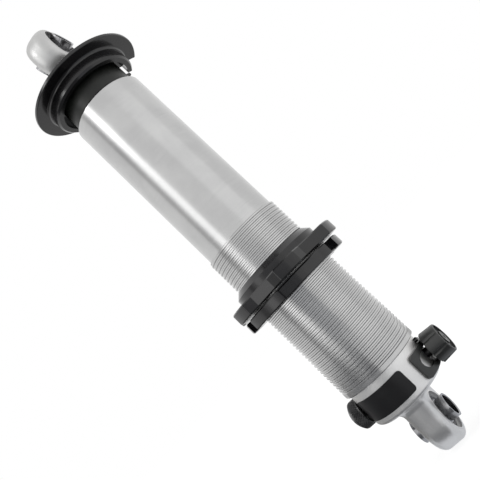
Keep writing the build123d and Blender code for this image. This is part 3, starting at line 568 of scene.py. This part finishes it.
def place_camera():
    bpy.context.scene.view_settings.view_transform = "Standard"
    data = bpy.data.cameras.new("camera")
    data.sensor_width = SENSOR_WIDTH
    data.lens = LENS
    data.clip_start = 0.01
    data.clip_end = 50.0
    camera = bpy.data.objects.new("camera", data)
    turn = Matrix((CAMERA_RIGHT, CAMERA_UP, CAMERA_BACK)).transposed().to_4x4()
    camera.matrix_world = Matrix.Translation(CAMERA_PLACE) @ turn
    bpy.context.scene.collection.objects.link(camera)
    bpy.context.scene.camera = camera


def seen_ray(value):
    """1 on camera, glossy and transmission rays, 0 on the rays that carry light."""
    rays = value.tree.nodes.new("ShaderNodeLightPath")
    camera, glossy, through = (
        Value(value.tree, rays.outputs[name])
        for name in ("Is Camera Ray", "Is Glossy Ray", "Is Transmission Ray")
    )
    return camera.math("MAXIMUM", glossy).math("MAXIMUM", through)


def make_world():
    world = bpy.data.worlds.new("white studio")
    bpy.context.scene.world = world
    world.use_nodes = True
    tree = world.node_tree
    tree.nodes.clear()
    background = tree.nodes.new("ShaderNodeBackground")
    output = tree.nodes.new("ShaderNodeOutputWorld")
    tree.links.new(background.outputs[0], output.inputs["Surface"])
    seen = seen_ray(Value(tree, background.outputs[0]))
    connect(background, "Strength", seen * (1.0 - AMBIENT) + AMBIENT)
    background.inputs["Color"].default_value = (1.0, 1.0, 1.0, 1.0)


def make_floor():
    bm = bmesh.new()
    bmesh.ops.create_grid(bm, x_segments=1, y_segments=1, size=FLOOR_SIZE)
    bmesh.ops.translate(bm, verts=bm.verts[:], vec=(0, 0, FLOOR_HEIGHT))
    mesh = bpy.data.meshes.new("floor")
    bm.to_mesh(mesh)
    bm.free()
    floor = bpy.data.objects.new("floor", mesh)
    bpy.context.scene.collection.objects.link(floor)
    made, shader, place = start_material("pale floor")
    shader.inputs["Base Color"].default_value = (FLOOR_GREY, FLOOR_GREY, FLOOR_GREY, 1.0)
    shader.inputs["Roughness"].default_value = 0.9
    shader.inputs["Specular IOR Level"].default_value = 0.0
    shader.inputs["Emission Color"].default_value = (1.0, 1.0, 1.0, 1.0)
    connect(shader, "Emission Strength", seen_ray(place) * AMBIENT)
    mesh.materials.append(made)


def soft_box(name, place, target, width, height, power):
    data = bpy.data.lights.new(name, "AREA")
    data.shape = "RECTANGLE"
    data.size = width
    data.size_y = height
    data.energy = power
    lamp = bpy.data.objects.new(name, data)
    away = Vector(target) - Vector(place)
    lamp.location = place
    lamp.rotation_euler = away.to_track_quat("-Z", "Y").to_euler()
    lamp.visible_camera = False
    bpy.context.scene.collection.objects.link(lamp)


def dark_card(name, place, target, width, height, grey, cast=NEUTRAL):
    """A card that only reflections show, as a studio flag."""
    bm = bmesh.new()
    bmesh.ops.create_grid(bm, x_segments=1, y_segments=1, size=0.5)
    bmesh.ops.scale(bm, verts=bm.verts[:], vec=(width, height, 1.0))
    away = (Vector(target) - Vector(place)).to_track_quat("-Z", "Y").to_matrix().to_4x4()
    bmesh.ops.transform(bm, verts=bm.verts[:], matrix=Matrix.Translation(place) @ away)
    mesh = bpy.data.meshes.new(name)
    bm.to_mesh(mesh)
    bm.free()
    card = bpy.data.objects.new(name, mesh)
    bpy.context.scene.collection.objects.link(card)
    made, shader, _ = start_material(name)
    shader.inputs["Base Color"].default_value = (0.0, 0.0, 0.0, 1.0)
    shader.inputs["Specular IOR Level"].default_value = 0.0
    shader.inputs["Emission Color"].default_value = (*(grey * part for part in cast), 1.0)
    shader.inputs["Emission Strength"].default_value = 1.0
    mesh.materials.append(made)
    for kind in ("camera", "diffuse", "shadow", "transmission", "volume_scatter"):
        setattr(card, "visible_" + kind, False)


def floor_card(name, x, y, width, height, grey, cast=NEUTRAL, lift=0.4 * MM):
    """A dark card that lies face up just over the floor."""
    dark_card(name, (x, y, FLOOR_HEIGHT + lift), (x, y, 1.0), width, height, grey, cast)


place_camera()
make_world()
make_floor()
# A lamp or standing card: its place, what it faces, width, height, then watts or grey
soft_box("long softbox", (-0.50, -0.745, 0.72), (0.0, 0.0, 0.30), 0.34, 1.55, 1.45)
soft_box("side softbox", (0.66, -0.30, 0.25), (0.0, 0.0, 0.12), 0.60, 0.90, 0.30)
soft_box("high softbox", (-0.50, -0.745, 1.02), (0.0, 0.0, 0.30), 0.20, 0.50, 1.00)
dark_card("side flag", (-0.78, -0.50, 0.30), (0.0, 0.0, 0.15), 0.22, 1.2, 0.55)
dark_card("front flag", (0.10, -0.90, 0.07), (0.0, 0.0, 0.07), 0.80, 0.28, 0.50, COOL)
# A floor card: x, y, width, height and grey
floor_card("back flag", -0.16, 0.52, 0.80, 0.60, 0.60)
floor_card("floor flag", -0.27, -0.31, 0.66, 0.58, 0.19, COOL)
floor_card("near flag", -0.32, 0.08, 0.56, 0.20, 0.25)
floor_card("under flag", 0.10, -0.06, 0.28, 0.34, 0.70, COOL, lift=0.2 * MM)
